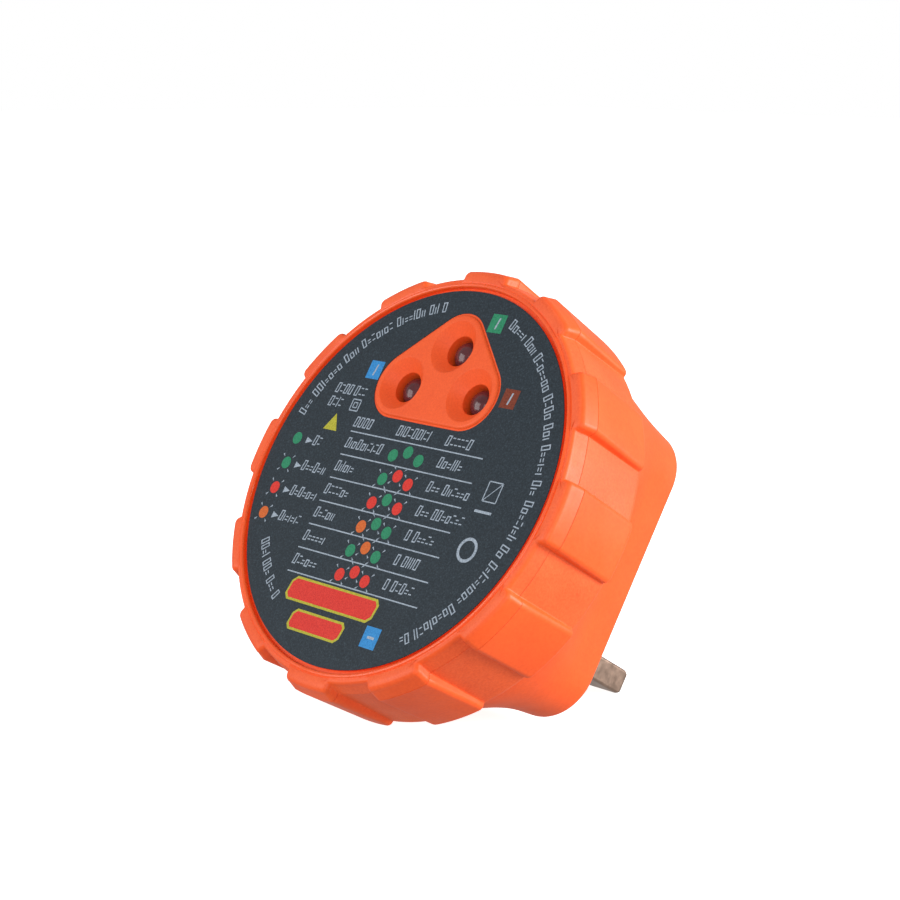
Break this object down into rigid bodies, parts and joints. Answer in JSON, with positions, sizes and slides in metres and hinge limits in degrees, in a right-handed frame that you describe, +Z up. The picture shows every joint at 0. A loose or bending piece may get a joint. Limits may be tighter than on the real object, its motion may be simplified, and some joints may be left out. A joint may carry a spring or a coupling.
{
  "type": "outlet tester plug",
  "caption": "Plug-in outlet tester: round lugged grip with a printed face and indicator lamps, on a squared plug body with three solid flat pins.",
  "frame": {"origin": "centre of the object's box in plan, on the surface it stands on, as it leans back on its grip and its two lower pins", "axes": "+Z up from the surface, +X to the right of the printed face, -Y the side the face looks to; the face's normal leans up from -Y by 31.2 degrees"},
  "size_m": [0.0708, 0.0712, 0.067],
  "materials": {
    "shell_orange": "fine spark texture",
    "label_slate": "fine grained satin film",
    "lamp_lens": "clear tinted epoxy",
    "pin_nickel": "dull nickel plate on brass",
    "sleeve_black": "smooth",
    "screw_steel": "bright zinc plate",
    "lead_tin": "tinned",
    "carrier_natural": "smooth",
    "board_green": "solder mask on glass-fibre board",
    "component_black": "smooth",
    "capacitor_yellow": "smooth",
    "capacitor_blue": "shrink sleeve",
    "sounder_brass": "thin sheet",
    "resistor_buff": "lacquered",
    "wire_brown": "insulation",
    "wire_blue": "insulation",
    "wire_green": "insulation"
  },
  "bodies": {
    "root": {"rear_case": "shell_orange", "front_cover": "shell_orange", "face_label": "label_slate", "lamp_neutral": "lamp_lens", "lamp_neutral_cathode": "lead_tin", "lamp_neutral_anode": "lead_tin", "lamp_earth": "lamp_lens", "lamp_earth_cathode": "lead_tin", "lamp_earth_anode": "lead_tin", "lamp_live": "lamp_lens", "lamp_live_cathode": "lead_tin", "lamp_live_anode": "lead_tin", "lamp_spacer": "carrier_natural", "circuit_board": "board_green", "controller_chip": "component_black", "film_capacitor": "capacitor_yellow", "smoothing_capacitor": "capacitor_blue", "sounder_case": "component_black", "sounder_disc": "sounder_brass", "resistor_1": "resistor_buff", "resistor_2": "resistor_buff", "resistor_3": "resistor_buff", "resistor_4": "resistor_buff", "diode_1": "component_black", "diode_2": "component_black", "diode_3": "component_black", "board_screw_1": "screw_steel", "board_screw_2": "screw_steel", "live_pin": "pin_nickel", "neutral_pin": "pin_nickel", "earth_pin": "pin_nickel", "live_sleeve": "sleeve_black", "neutral_sleeve": "sleeve_black", "pin_carrier": "carrier_natural", "carrier_screw_1": "screw_steel", "carrier_screw_2": "screw_steel", "live_wire": "wire_brown", "neutral_wire": "wire_blue", "earth_wire": "wire_green", "case_screw_1": "screw_steel", "case_screw_2": "screw_steel", "case_screw_3": "screw_steel", "case_screw_4": "screw_steel"}
  },
  "joints": []
}
